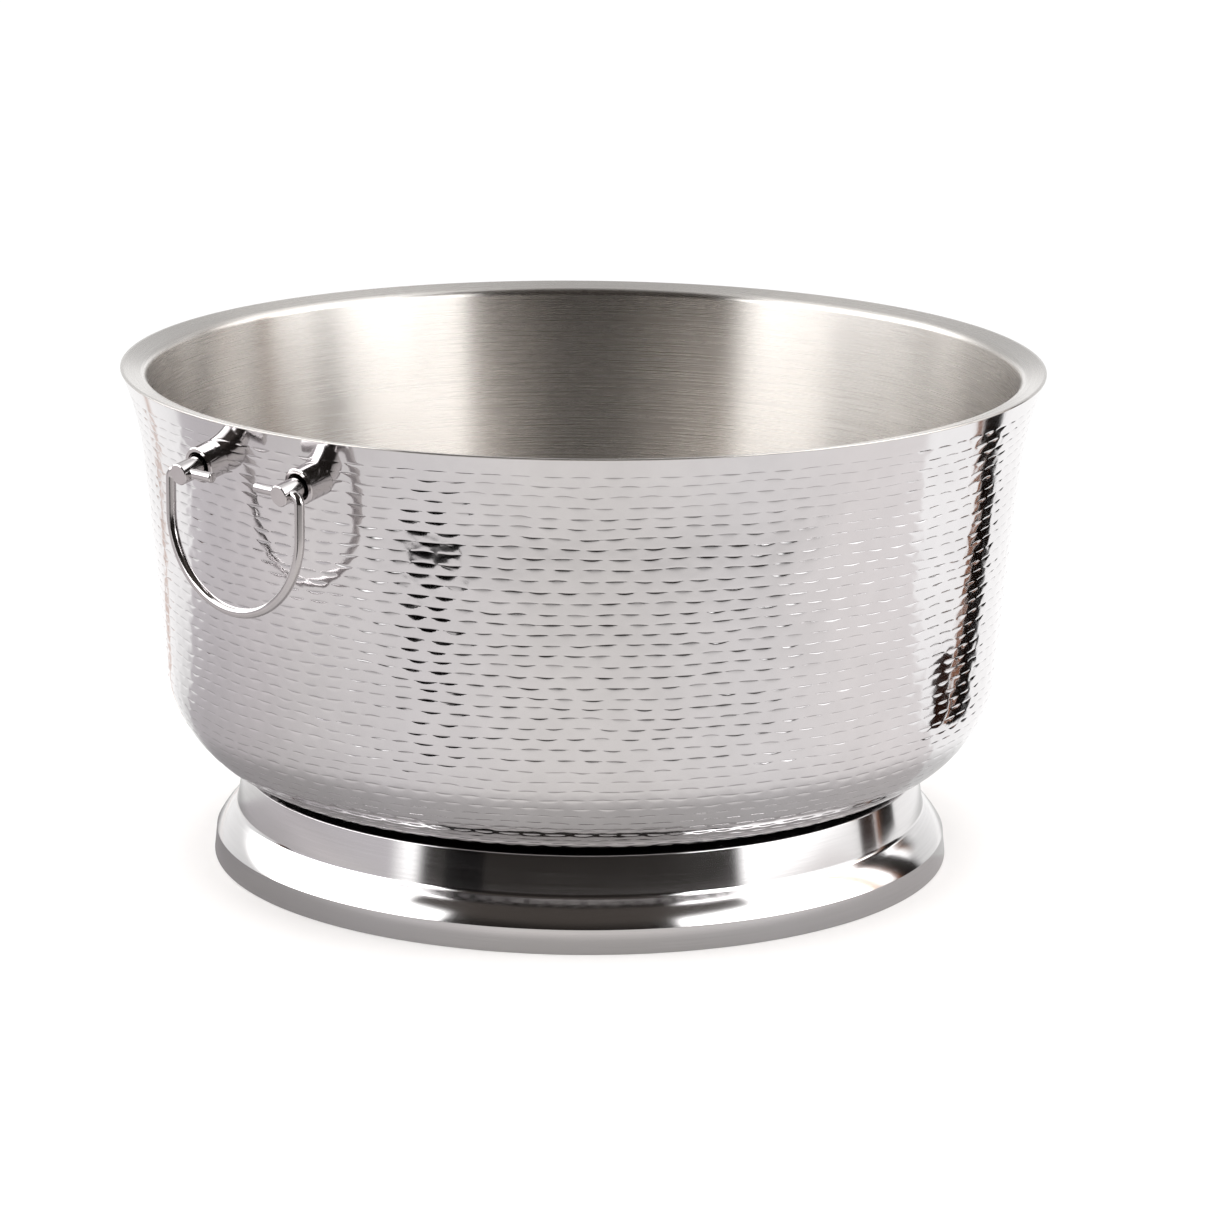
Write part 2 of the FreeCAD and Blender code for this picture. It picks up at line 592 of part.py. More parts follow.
def bail(name, side):
    """Bent rod: a path in its own YZ plane, with the hinge axis along Y through its origin."""
    body = doc.addObject("PartDesign::Body", name)
    path = body_sketch(body, name + "_path", "YZ_Plane")
    bow = size("post_spacing") / 2 + size("post_radius") + size("leg_gap")
    leg, bend = size("leg_length"), size("bend_radius")
    tip = size("post_spacing") / 2 - size("post_radius") - size("tip_length")
    into_left = line(path, (-tip, 0), (bend - bow, 0))
    left_bend = arc(path, (bend - bow, -bend), bend, 90, 180)
    left_leg = line(path, (-bow, -bend), (-bow, -leg))
    bow_arc = arc(path, (0, -leg), bow, 180, 360)
    right_leg = line(path, (bow, -leg), (bow, -bend))
    right_bend = arc(path, (bow - bend, -bend), bend, 0, 90)
    into_right = line(path, (bow - bend, 0), (tip, 0))
    runs = [(into_left, 1, 2), (left_bend, 1, 2), (left_leg, 1, 2), (bow_arc, 1, 2),
            (right_leg, 1, 2), (right_bend, 1, 2), (into_right, 1, 2)]
    for (run, _, end), (after, start, _) in zip(runs, runs[1:]):
        constrain(path, "Tangent", run, end, after, start)
    constrain(path, "Horizontal", into_left)
    constrain(path, "Vertical", left_leg)
    constrain(path, "Radius", left_bend, bend, formula="bend_radius * 1 mm")
    constrain(path, "Radius", right_bend, bend, formula="bend_radius * 1 mm")
    reach = "(post_spacing / 2 - post_radius - tip_length)"
    place(path, into_left, 1, f"{reach} * -1 mm", "0 mm")
    half_width = "(post_spacing / 2 + post_radius + leg_gap)"
    place(path, bow_arc, 1, f"{half_width} * -1 mm", "leg_length * -1 mm")
    place(path, bow_arc, 2, f"{half_width} * 1 mm", "leg_length * -1 mm")
    place(path, into_right, 2, f"{reach} * 1 mm", "0 mm")
    rod = body.newObject("PartDesign::AdditivePipe", name + "_rod")
    rod.Profile = circle_sketch(
        body, name + "_section", "XZ_Plane", "rod_radius * 1 mm", offset=f"{reach} * 1 mm"
    )
    rod.Spine = (path, [f"Edge{n + 1}" for n in range(len(runs))])
    doc.recompute()
    ends = []
    for index, edge in enumerate(rod.Shape.Edges, start=1):
        if abs(abs(edge.CenterOfMass.y) - tip) < 0.01 and edge.BoundBox.YLength < 0.01:
            ends.append(f"Edge{index}")
    round_off(body, name + "_ends", rod, ends, "tip_round * 1 mm")
    bind(body, "Placement.Base.x", f"{side} * ({WALL_CHORD} + cos(post_tilt * 1 deg) * pivot_reach * 1 mm)")
    bind(body, "Placement.Base.z", f"({POST_HEIGHT} - sin(post_tilt * 1 deg) * pivot_reach) * 1 mm")
    return body


# ---------------------------------------------------------------- the assembly
SIDES = {"left": -1, "right": 1}
PLACES = {"front": -1, "rear": 1}

nodes = {
    "inner_bowl": inner_bowl,
    "foot": foot,
    "foot_studs": foot_studs,
    "foot_washers": foot_washers,
    "foot_nuts": foot_nuts,
}
shell_cuts = [shell_trim]
for side_name, side in SIDES.items():
    nodes[f"{side_name}_bail"] = bail(f"{side_name}_bail", side)
    for place_name, across in PLACES.items():
        post = f"{side_name}_{place_name}"
        nodes[post + "_stud"] = stand_out(post_stud(post + "_stud"), side, across)
        nodes[post + "_collar"] = collar(post + "_collar", side, across)
        nodes[post + "_saddle"] = saddle(post + "_saddle", side, across)
        clamp = nut(post + "_nut", "nut_flats * 1 mm", "shank_radius * 1 mm", "nut_height * 1 mm")
        nodes[post + "_nut"] = stand_out(clamp, side, across, "((saddle_depth + nut_height) * -1 mm)")
        shell_cuts.append(shank_hole(post + "_drill", side, across))
nodes["outer_shell"] = cut("outer_shell", shell_blank, shell_cuts)
doc.recompute()

# ---------------------------------------------------------------- checks and files
failed = [o.Name for o in doc.Objects if {"Invalid", "Error"} & set(o.State)]
if failed:
    raise RuntimeError("failed objects: " + ", ".join(failed))
for name, node in nodes.items():
    if node.Shape.isNull() or not node.Shape.isValid() or node.Shape.Volume <= 0:
        raise RuntimeError(name + " has no valid solid")
    node.Label = name

os.makedirs("parts", exist_ok=True)
for name, node in nodes.items():
    node.Shape.exportStep(os.path.join("parts", name + ".step"))
    print(f"{name}: {len(node.Shape.Solids)} solid(s), {node.Shape.Volume / 1000:.2f} cm3")
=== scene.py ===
import bpy
import json
import math
from functools import partial

import numpy as np
from mathutils import Matrix, Vector


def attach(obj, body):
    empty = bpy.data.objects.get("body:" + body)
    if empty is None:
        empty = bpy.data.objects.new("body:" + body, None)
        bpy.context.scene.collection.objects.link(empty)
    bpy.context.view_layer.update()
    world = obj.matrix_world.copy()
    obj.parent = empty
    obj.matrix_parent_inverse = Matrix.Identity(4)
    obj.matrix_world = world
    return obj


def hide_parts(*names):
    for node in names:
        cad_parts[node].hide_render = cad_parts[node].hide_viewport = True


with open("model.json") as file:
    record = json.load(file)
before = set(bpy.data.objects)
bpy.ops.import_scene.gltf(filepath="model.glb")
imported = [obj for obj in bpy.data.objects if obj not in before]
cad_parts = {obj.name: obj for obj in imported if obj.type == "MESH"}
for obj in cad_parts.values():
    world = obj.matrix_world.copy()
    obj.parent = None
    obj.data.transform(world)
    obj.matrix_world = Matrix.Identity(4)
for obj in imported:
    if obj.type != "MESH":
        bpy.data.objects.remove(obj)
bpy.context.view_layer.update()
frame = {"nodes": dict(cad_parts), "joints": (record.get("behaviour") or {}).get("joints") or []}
print("frame loaded:", len(frame["nodes"]), "nodes")

mm = 0.001


def linearColour(code):
    # sRGB hex to linear RGBA
    channels = [int(code[i:i + 2], 16) / 255 for i in (1, 3, 5)]
    return [c / 12.92 if c <= 0.04045 else ((c + 0.055) / 1.055) ** 2.4 for c in channels] + [1.0]


def addNode(tree, kind, *inputs, **settings):
    # one node: its inputs in order (a value, a socket, or None to leave it), then its settings
    node = tree.nodes.new(kind)
    for name, value in settings.items():
        setattr(node, name, value)
    for socket, value in zip(node.inputs, inputs):
        if isinstance(value, bpy.types.NodeSocket):
            tree.links.new(value, socket)
        elif value is not None:
            socket.default_value = value
    return node


# materials: every finish is procedural, in metres of the object itself
def newMaterial(name):
    material = bpy.data.materials.new(name)
    material.use_nodes = True
    material.node_tree.nodes.clear()
    return material, partial(addNode, material.node_tree)


def finishMaterial(material, put, linked, fixed):
    # linked inputs vary over the surface, fixed ones are the same all over
    surface = put("ShaderNodeBsdfPrincipled")
    for name, socket in linked.items():
        material.node_tree.links.new(socket, surface.inputs[name])
    for name, value in fixed.items():
        surface.inputs[name].default_value = value
    put("ShaderNodeOutputMaterial", surface.outputs[0])
    return material


def tintRamp(put, factor, hexCode, darkest, low, high):
    # from a darker shade of the colour to the colour itself
    base = linearColour(hexCode)
    ramp = put("ShaderNodeValToRGB", factor)
    shades = ([c * darkest for c in base[:3]] + [1.0], base)
    for element, position, shade in zip(ramp.color_ramp.elements, (low, high), shades):
        element.position = position
        element.color = shade
    return ramp.outputs[0]


def roundTheAxis(put):
    # for a finish that runs round Z: a unit circle in x and y, the radius and the height
    part = put("ShaderNodeSeparateXYZ", put("ShaderNodeTexCoord").outputs["Object"])
    flat = put("ShaderNodeCombineXYZ", part.outputs[0], part.outputs[1])
    circle = put("ShaderNodeVectorMath", flat.outputs[0], operation="NORMALIZE")
    radius = put("ShaderNodeVectorMath", flat.outputs[0], operation="LENGTH")
    return circle.outputs[0], radius.outputs["Value"], part.outputs[2]


def brushLines(put, across, alongTurns, seed):
    # noise drawn out round Z: across is the width of a line in metres
    circle, radius, height = roundTheAxis(put)
    spread = put("ShaderNodeVectorMath", circle, operation="SCALE")
    spread.inputs["Scale"].default_value = alongTurns
    split = put("ShaderNodeSeparateXYZ", spread.outputs[0])
    deep = put("ShaderNodeMath", radius, 1 / across, operation="MULTIPLY")
    high = put("ShaderNodeMath", height, 1 / across, seed, operation="MULTIPLY_ADD")
    at = put("ShaderNodeCombineXYZ", split.outputs[0], split.outputs[1], deep.outputs[0])
    lines = put("ShaderNodeTexNoise", at.outputs[0], high.outputs[0], 1.0, 2.0, 0.6, noise_dimensions="4D")
    return lines.outputs["Fac"]


def brushedSteel(name, hexCode, brush):
    # sheet brushed round the axis: the grooves stretch a reflection across themselves
    material, put = newMaterial(name)
    fine = brushLines(put, brush["fine"] * mm, brush["fineTurns"], 3.0)
    broad = brushLines(put, brush["broad"] * mm, brush["broadTurns"], 11.0)
    place = put("ShaderNodeTexCoord").outputs["Object"]
    mottle = put("ShaderNodeTexNoise", place, None, 18.0, 3.0, 0.5).outputs["Fac"]
    blend = put("ShaderNodeMath", fine, 0.6, operation="MULTIPLY")
    mixed = put("ShaderNodeMath", broad, 0.4, blend.outputs[0], operation="MULTIPLY_ADD")
    tint = tintRamp(put, mixed.outputs[0], hexCode, brush["darkest"], 0.3, 0.62)
    rough = put("ShaderNodeMapRange", mixed.outputs[0], 0.3, 0.7, brush["roughHigh"], brush["roughLow"])
    cloudy = put("ShaderNodeMath", mottle, 0.06, rough.outputs[0], operation="MULTIPLY_ADD")
    grooves = put("ShaderNodeBump", brush["bump"], brush["depth"] * mm)
    material.node_tree.links.new(mixed.outputs[0], grooves.inputs["Height"])
    tangent = put("ShaderNodeTangent", direction_type="RADIAL", axis="Z")
    return finishMaterial(
        material, put,
        {"Base Color": tint, "Roughness": cloudy.outputs[0], "Normal": grooves.outputs[0],
         "Tangent": tangent.outputs[0]},
        {"Metallic": 1.0, "Anisotropic": brush["anisotropic"], "Anisotropic Rotation": 0.25},
    )


def polishedSteel(name, hexCode, polish):
    # buffed metal: a near mirror with faint haze and hairlines, and painted shade darkening any creases
    material, put = newMaterial(name)
    place = put("ShaderNodeTexCoord").outputs["Object"]
    haze = put("ShaderNodeTexNoise", place, None, polish["hazeScale"], 4.0, 0.6).outputs["Fac"]
    hairs = put("ShaderNodeMapping", place, (0, 0, 0), (0.3, 0.5, 0.2), (60, 900, 2400))
    hair = put("ShaderNodeTexNoise", hairs.outputs[0], None, 1.0, 2.0, 0.5).outputs["Fac"]
    tint = tintRamp(put, haze, hexCode, 0.93, 0.3, 0.7)
    # painted shade: the crease attribute darkens the colour towards #4a4340 along the creases, standing in
    # for the shade there
    crease = put("ShaderNodeAttribute", attribute_name="crease").outputs["Fac"]
    creaseShade = put("ShaderNodeMath", crease, polish["creaseShade"], operation="MULTIPLY", use_clamp=True)
    unused = [None] * 5  # the mix node's inputs for other kinds of data
    creaseShaded = put("ShaderNodeMix", creaseShade.outputs[0], *unused, tint, linearColour("#4a4340"), data_type="RGBA")
    rough = put("ShaderNodeMapRange", haze, 0.3, 0.7, polish["roughLow"], polish["roughHigh"])
    scuffed = put("ShaderNodeMath", hair, 0.05, rough.outputs[0], operation="MULTIPLY_ADD")
    bump = put("ShaderNodeBump", polish["bump"], polish["depth"] * mm)
    material.node_tree.links.new(hair, bump.inputs["Height"])
    return finishMaterial(
        material, put,
        {"Base Color": creaseShaded.outputs[2], "Roughness": scuffed.outputs[0], "Normal": bump.outputs[0]},
        {"Metallic": 1.0},
    )


# line widths, depths in mm; bump is its strength, the rest as on the surface's own sliders
bowlBrush = {"fine": 0.25, "fineTurns": 5.0, "broad": 1.1, "broadTurns": 2.5, "darkest": 0.86,
             "roughLow": 0.2, "roughHigh": 0.28, "bump": 0.2, "depth": 0.04, "anisotropic": 0.95}
footBrush = {"fine": 0.3, "fineTurns": 4.0, "broad": 1.5, "broadTurns": 2.0, "darkest": 0.93,
             "roughLow": 0.07, "roughHigh": 0.12, "bump": 0.06, "depth": 0.03, "anisotropic": 0.4}
# the first key sets how strong the painted crease shade is
shellPolish = {"creaseShade": 0.5, "hazeScale": 40.0, "roughLow": 0.04, "roughHigh": 0.08,
               "bump": 0.03, "depth": 0.02}
rodPolish = {"creaseShade": 0.0, "hazeScale": 120.0, "roughLow": 0.07, "roughHigh": 0.13,
             "bump": 0.05, "depth": 0.02}
plainPolish = {"creaseShade": 0.0, "hazeScale": 200.0, "roughLow": 0.25, "roughHigh": 0.35,
               "bump": 0.1, "depth": 0.02}

hammeredFinish = polishedSteel("hammeredPolishedSteel", "#dcdadb", shellPolish)
bowlFinish = brushedSteel("bowlBrushedSteel", "#c9c5c1", bowlBrush)
footFinish = brushedSteel("footSpunSteel", "#d6d4d4", footBrush)
rodFinish = polishedSteel("bailPolishedSteel", "#c8c4c4", rodPolish)
fastenerFinish = polishedSteel("fastenerPlainSteel", "#b9b7b5", plainPolish)
print("materials made")


# turned sheet pieces
def arcPoints(centre, radius, first, last, count):
    # angles in degrees, ends included
    turn = np.radians(np.linspace(first, last, count))
    return [(centre[0] + radius * math.cos(a), centre[1] + radius * math.sin(a)) for a in turn]


def meshObject(name, vertices, faces, material):
    mesh = bpy.data.meshes.new(name)
    mesh.from_pydata([tuple(v) for v in vertices], [], faces)
    mesh.materials.append(material)
    mesh.update()
    made = bpy.data.objects.new(name, mesh)
    bpy.context.scene.collection.objects.link(made)
    return made


def turned(name, outline, segments, material, sharpAngle=35):
    # spins a closed outline of (radius, height) in mm about Z; the outline runs anticlockwise,
    # seen with the radius to the right, so that the faces point outwards
    angles = np.linspace(0, 2 * math.pi, segments, endpoint=False)
    vertices, rings = [], []
    for radius, height in outline:
        if radius < 1e-6:
            rings.append([len(vertices)] * segments)
            vertices.append((0, 0, height * mm))
        else:
            rings.append(list(range(len(vertices), len(vertices) + segments)))
            vertices += [(radius * mm * math.cos(a), radius * mm * math.sin(a), height * mm) for a in angles]
    faces = []
    for low, high in zip(rings, rings[1:] + rings[:1]):
        for i in range(segments):
            j = (i + 1) % segments
            corners = [low[i], low[j], high[j], high[i]]
            face = list(dict.fromkeys(corners))
            if len(face) > 2:
                faces.append(face)
    made = meshObject(name, vertices, faces, material)
    made.data.shade_smooth()
    made.data.set_sharp_from_angle(angle=math.radians(sharpAngle))
    return made


def roundedOutline(corners, steps=6):
    # rounds each (radius, height, fillet) corner of a closed outline
    made = []
    count = len(corners)
    for i, (r, z, fillet) in enumerate(corners):
        if fillet <= 0:
            made.append((r, z))
            continue
        here = Vector((r, z))
        before = (Vector(corners[i - 1][:2]) - here).normalized()
        after = (Vector(corners[(i + 1) % count][:2]) - here).normalized()
        half = before.angle(after) / 2
        reach = fillet / math.tan(half)
        start, end = here + before * reach, here + after * reach
        centre = here + (before + after).normalized() * (fillet / math.sin(half))
        first = math.atan2(*(start - centre).yx)
        sweep = (math.atan2(*(end - centre).yx) - first + math.pi) % (2 * math.pi) - math.pi
        made += [(centre.x + fillet * math.cos(first + sweep * t / steps),
                  centre.y + fillet * math.sin(first + sweep * t / steps)) for t in range(steps + 1)]
    return made


bowl = {  # mm and degrees, the design's own sizes
    "rimRadius": 235.0, "height": 255.2, "footHeight": 45.6, "taper": 5.1,
    "gauge": 0.8, "cornerRadius": 60.0, "flareDrop": 46.4, "flareWidth": 11.3, "seamStep": 0.4,
    "cavity": 4.2, "lipWidth": 10.0, "lipLand": 1.5, "lipSlope": 13.0, "rollRadius": 4.5,
    "landRound": 2.0, "edgeRound": 0.3,
}


def shellOutline(inset=0.0):
    # outside of the shell from its top edge down to the flat base, and the radius of the base
    lean = math.radians(bowl["taper"])
    corner = bowl["cornerRadius"]
    edge = (bowl["rimRadius"] - bowl["seamStep"], bowl["height"] - bowl["gauge"])
    start = (edge[0] - bowl["flareWidth"], edge[1] - bowl["flareDrop"])
    chord = math.atan2(edge[0] - start[0], edge[1] - start[1])
    flare = math.dist(start, edge) / (2 * math.sin(chord - lean))
    flareCentre = (start[0] + flare * math.cos(lean), start[1] - flare * math.sin(lean))
    flareEnd = 180 - math.degrees(2 * chord - lean)
    bendZ = bowl["footHeight"] + corner * (1 - math.sin(lean))
    bend = (start[0] - (start[1] - bendZ) * math.tan(lean), bendZ)
    centre = (bend[0] - corner * math.cos(lean), bowl["footHeight"] + corner)
    down = arcPoints(flareCentre, flare + inset, flareEnd, 180 - bowl["taper"], 60)
    down += arcPoints(centre, corner - inset, -bowl["taper"], -90, 90)
    return down, centre[0]


def bowlOutline():
    # closed outline of the inner bowl's sheet: underside from the axis out to the rim, then back
    lean, slope = math.radians(bowl["taper"]), math.radians(bowl["lipSlope"])
    inset = bowl["gauge"] * 2 + bowl["cavity"]
    corner, floor = bowl["cornerRadius"] - inset, bowl["footHeight"] + inset
    land = (bowl["rimRadius"] - bowl["lipLand"], bowl["height"])
    lipEnd = bowl["rimRadius"] - bowl["lipWidth"]
    lipEnd = (lipEnd, land[1] - (land[0] - lipEnd) * math.tan(slope))
    roll = bowl["rollRadius"]
    rollCentre = (lipEnd[0] + roll * math.sin(slope), lipEnd[1] - roll * math.cos(slope))
    wallTop = (rollCentre[0] - roll * math.cos(lean), rollCentre[1] + roll * math.sin(lean))
    bendZ = floor + corner * (1 - math.sin(lean))
    bend = (wallTop[0] - (wallTop[1] - bendZ) * math.tan(lean), bendZ)
    centre = (bend[0] - corner * math.cos(lean), floor + corner)

    def side(thick):
        points = [(0, floor - thick, 0), (centre[0] * 0.5, floor - thick, 0)]
        points += [(*p, 0) for p in arcPoints(centre, corner + thick, -90, -bowl["taper"], 48)]
        for t in (0.25, 0.5, 0.75):
            points.append((bend[0] + (wallTop[0] - bend[0]) * t + thick * math.cos(lean),
                           bend[1] + (wallTop[1] - bend[1]) * t - thick * math.sin(lean), 0))
        around = arcPoints(rollCentre, roll - thick, 180 - bowl["taper"], 90 + bowl["lipSlope"], 16)
        points += [(*p, 0) for p in around]
        return points + [(land[0] + thick * math.tan(slope / 2), land[1] - thick, bowl["landRound"])]

    edge = [(bowl["rimRadius"], bowl["height"] - bowl["gauge"], bowl["edgeRound"]),
            (bowl["rimRadius"], bowl["height"], bowl["edgeRound"])]
    return roundedOutline(side(bowl["gauge"]) + edge + side(0.0)[::-1])


innerBowl = turned("innerBowlSheet", bowlOutline(), 480, bowlFinish)
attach(innerBowl, "bucket")
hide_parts("inner_bowl")
print("inner bowl made")

foot = {  # mm
    "gauge": 1.2, "seat": 15.0, "neckOffset": 20.8, "spread": 15.0, "bandHeight": 12.3, "bandLean": 1.2,
    "shoulderHeight": 25.5, "shoulderInset": 10.8, "shoulderRadius": 50.0, "bendRound": 4.0, "hem": 7.0,
}


def bulge(low, high, radius, count):
    # arc between two points that bulges away from the axis, the ends left out
    chord = math.dist(low, high)
    reach = math.sqrt(radius ** 2 - chord ** 2 / 4)
    across = (-(high[1] - low[1]) / chord, (high[0] - low[0]) / chord)
    centre = ((low[0] + high[0]) / 2 + across[0] * reach, (low[1] + high[1]) / 2 + across[1] * reach)
    first, last = [math.degrees(math.atan2(p[1] - centre[1], p[0] - centre[0])) for p in (low, high)]
    return arcPoints(centre, radius, first, last, count)[1:-1]


def footOutline(baseRadius):
    neck = baseRadius + foot["neckOffset"]
    bottom = neck + foot["spread"]
    band = bottom - foot["bandLean"]
    gauge, inset = foot["gauge"], foot["shoulderInset"]
    bandTop, bendZ, top = foot["bandHeight"], foot["shoulderHeight"], bowl["footHeight"]
    outer = bulge((band, bandTop), (band - inset, bendZ), foot["shoulderRadius"], 14)
    inner = bulge((band - gauge, bandTop - gauge), (band - inset - gauge, bendZ),
                  foot["shoulderRadius"] - gauge, 14)
    corners = [(bottom - foot["hem"], 0, 0.3), (bottom, 0, 0.6), (band, bandTop, 0.4)]
    corners += [(*p, 0) for p in outer[:-2]]
    corners += [(band - inset, bendZ, foot["bendRound"]), (neck, top, 0.6)]
    corners += [(baseRadius - foot["seat"], top, 0.3), (baseRadius - foot["seat"], top - gauge, 0.3)]
    corners += [(neck - gauge, top - gauge, 0.6), (band - inset - gauge, bendZ, foot["bendRound"])]
    corners += [(*p, 0) for p in inner[-3::-1]] + [(band - gauge, bandTop - gauge, 0.3)]
    corners += [(bottom - gauge, gauge, 0.5), (bottom - foot["hem"], gauge, 0.3)]
    return roundedOutline(corners)


shellLine, baseRadius = shellOutline()
footRing = turned("spunFoot", footOutline(baseRadius), 400, footFinish)
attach(footRing, "bucket")
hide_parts("foot")
print("foot made")


# the hammered shell, made as a dented grid and cut into closed sectors
hammer = {  # mm, and whole numbers for the mesh
    "marksRound": 104, "rowPitch": 5.2, "plainBand": 7.0, "plainStrip": 3.0,
    "markLength": 10.6, "markHeight": 2.4, "creaseHeight": 0.5, "depth": 0.2, "creaseWidth": 0.28,
    "columnsPerMark": 9, "linesPerRow": 14, "bandLines": 6, "crowding": 0.72,
    "wander": 1.3, "jitter": 0.5, "uneven": 0.4, "pillow": 0.06, "sectors": 8, "seed": 7,
}


def profileCurve(name, points):
    curve = bpy.data.curves.new(name, "CURVE")
    curve.dimensions = "3D"
    spline = curve.splines.new("POLY")
    spline.points.add(len(points) - 1)
    for point, (r, z) in zip(spline.points, points):
        point.co = (r * mm, 0, z * mm, 1)
    made = bpy.data.objects.new(name, curve)
    bpy.context.scene.collection.objects.link(made)
    return made


def hammerTree(sizes):
    # a grid bent round a profile and dented by rows of chisel marks, each a lens with a sharp crease;
    # the grid's lines crowd towards the creases and slide with them, so each crease lies on a line
    tree = bpy.data.node_groups.new("hammeredShell", "GeometryNodeTree")
    put = partial(addNode, tree)
    kinds = {"Profile": "NodeSocketObject", "Marks Round": "NodeSocketInt", "Rows": "NodeSocketInt",
             "Columns": "NodeSocketInt", "Lines": "NodeSocketInt", "Finish": "NodeSocketMaterial"}
    sockets = {}
    for label in [*kinds, *sizes]:
        kind = kinds.get(label, "NodeSocketFloat")
        sockets[label] = tree.interface.new_socket(label, in_out="INPUT", socket_type=kind).identifier
    tree.interface.new_socket("Geometry", in_out="OUTPUT", socket_type="NodeSocketGeometry")
    given = {socket.name: socket for socket in put("NodeGroupInput").outputs}

    def calc(operation, *values):
        return put("ShaderNodeMath", *values, operation=operation).outputs[0]

    def chance(number, seed):
        # from 0 to 1, the same for every point with that number
        drawn = put("FunctionNodeRandomValue", data_type="FLOAT")
        tree.links.new(calc("ADD", number, 0.5), drawn.inputs["ID"])
        drawn.inputs["Seed"].default_value = seed
        return drawn.outputs["Value"]

    grid = put("GeometryNodeMeshGrid", 1.0, 1.0, calc("ADD", given["Columns"], 1.0),
               calc("ADD", given["Lines"], 1.0))
    uv = put("ShaderNodeSeparateXYZ", grid.outputs["UV Map"])
    around = uv.outputs[0]
    line = calc("MULTIPLY", uv.outputs[1], given["Lines"])
    column = calc("MULTIPLY", around, given["Columns"])
    angle = calc("MULTIPLY", around, 2 * math.pi)

    # height of each line along the profile: plain band, hammered rows, plain strip
    perRow = given["Lines Per Row"]
    hammered = calc("DIVIDE", calc("SUBTRACT", line, given["Band Lines"]), perRow)
    row = put("ShaderNodeClamp", hammered, 0.0, given["Rows"]).outputs[0]
    wave = calc("SINE", calc("MULTIPLY", row, 2 * math.pi))
    crowded = calc("MULTIPLY_ADD", wave, calc("DIVIDE", given["Crowding"], 2 * math.pi), row)
    profile = put("GeometryNodeObjectInfo", given["Profile"]).outputs["Geometry"]
    length = put("GeometryNodeCurveLength", profile).outputs[0]
    bandPart = calc("MULTIPLY", calc("MINIMUM", calc("DIVIDE", line, given["Band Lines"]), 1.0),
                    given["Plain Band"])
    rowPart = calc("MULTIPLY", crowded, given["Row Pitch"])
    past = calc("SUBTRACT", line, calc("MULTIPLY_ADD", given["Rows"], perRow, given["Band Lines"]))
    left = calc("SUBTRACT", given["Lines"], calc("SUBTRACT", line, past))
    stripPart = calc("MULTIPLY", calc("DIVIDE", calc("MAXIMUM", past, 0.0), left), given["Plain Strip"])
    along = calc("ADD", calc("ADD", bandPart, rowPart), stripPart)

    # which mark, and where in it
    rowIndex = calc("FLOOR", row)
    rowShift = chance(rowIndex, hammer["seed"])
    stagger = calc("MULTIPLY_ADD", rowIndex, 0.5, calc("MULTIPLY", rowShift, 0.5))
    across = calc("MULTIPLY_ADD", around, given["Marks Round"], stagger)
    markIndex = calc("FLOOR", across)
    wrapped = calc("FLOORED_MODULO", markIndex, given["Marks Round"])
    identity = calc("MULTIPLY_ADD", rowIndex, 1000.0, wrapped)
    seeds = range(hammer["seed"] + 1, hammer["seed"] + 6)
    slideU, slideV, longer, deeper, tilt = [
        calc("MULTIPLY_ADD", chance(identity, seed), 2.0, -1.0) for seed in seeds]
    fromMiddle = calc("SUBTRACT", calc("SUBTRACT", across, markIndex), 0.5)
    markU = calc("MULTIPLY_ADD", slideU, -0.09, fromMiddle)
    half = calc("MULTIPLY", calc("MULTIPLY_ADD", longer, 0.12, 1.0), given["Half Length"])
    lens = calc("MAXIMUM", calc("SUBTRACT", 1.0, calc("POWER", calc("DIVIDE", markU, half), 2.0)), 0.0)
    below = calc("MULTIPLY", calc("SUBTRACT", calc("SUBTRACT", crowded, rowIndex), 0.5), given["Row Pitch"])
    reach = calc("MULTIPLY_ADD", lens, given["Mark Height"], 0.00002)
    lower = calc("POWER", calc("MAXIMUM", calc("SUBTRACT", 1.0, calc("DIVIDE", below, reach)), 0.0), 2.7)
    upper = calc("MAXIMUM", calc("ADD", 1.0, calc("DIVIDE", below, given["Crease Height"])), 0.0)
    isBelow = calc("GREATER_THAN", below, 0.0)
    section = calc("MULTIPLY_ADD", isBelow, calc("SUBTRACT", lower, upper), upper)
    inRows = calc("MINIMUM", calc("MINIMUM", row, calc("SUBTRACT", given["Rows"], row)), 1.0)
    isRow = calc("GREATER_THAN", inRows, 0.0001)
    strength = calc("MULTIPLY", calc("MULTIPLY_ADD", deeper, 0.16, 0.95), isRow)
    fullness = calc("MULTIPLY", calc("SQRT", lens), strength)
    dent = calc("MULTIPLY", calc("MULTIPLY", fullness, section), given["Depth"])
    fromCrease = calc("DIVIDE", calc("ABSOLUTE", below), given["Crease Width"])
    # painted shade: a mask along each crease, strongest where the mark is fullest, which later darkens the
    # colour there
    creaseShade = calc("MULTIPLY", calc("MAXIMUM", calc("SUBTRACT", 1.0, fromCrease), 0.0), fullness)

